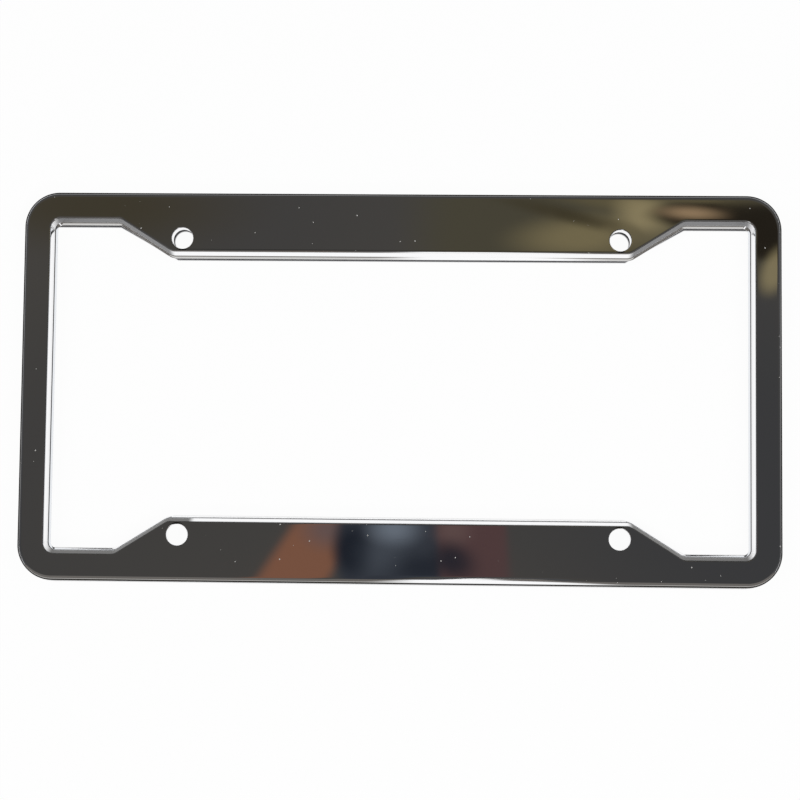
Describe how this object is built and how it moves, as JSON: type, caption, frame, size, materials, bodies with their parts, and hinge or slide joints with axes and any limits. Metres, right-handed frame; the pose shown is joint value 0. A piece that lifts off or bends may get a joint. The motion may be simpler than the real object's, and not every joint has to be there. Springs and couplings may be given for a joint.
{
  "type": "number plate holder",
  "caption": "Chromed pressed-steel frame for a 12 x 6 inch number plate, with a bevelled window edge, sloped rails and drawn screw holes.",
  "frame": {"origin": "middle of the frame's outline, in the plane of its back rim", "axes": "+X along the frame's width, +Y up the plate, +Z out of the face"},
  "size_m": [0.308, 0.1586, 0.0064],
  "materials": {
    "chrome": "bright mirror chrome plate on polished pressed steel, with fine specks and faint waves at the edges"
  },
  "bodies": {
    "root": {"plate_frame": "chrome"}
  },
  "joints": []
}
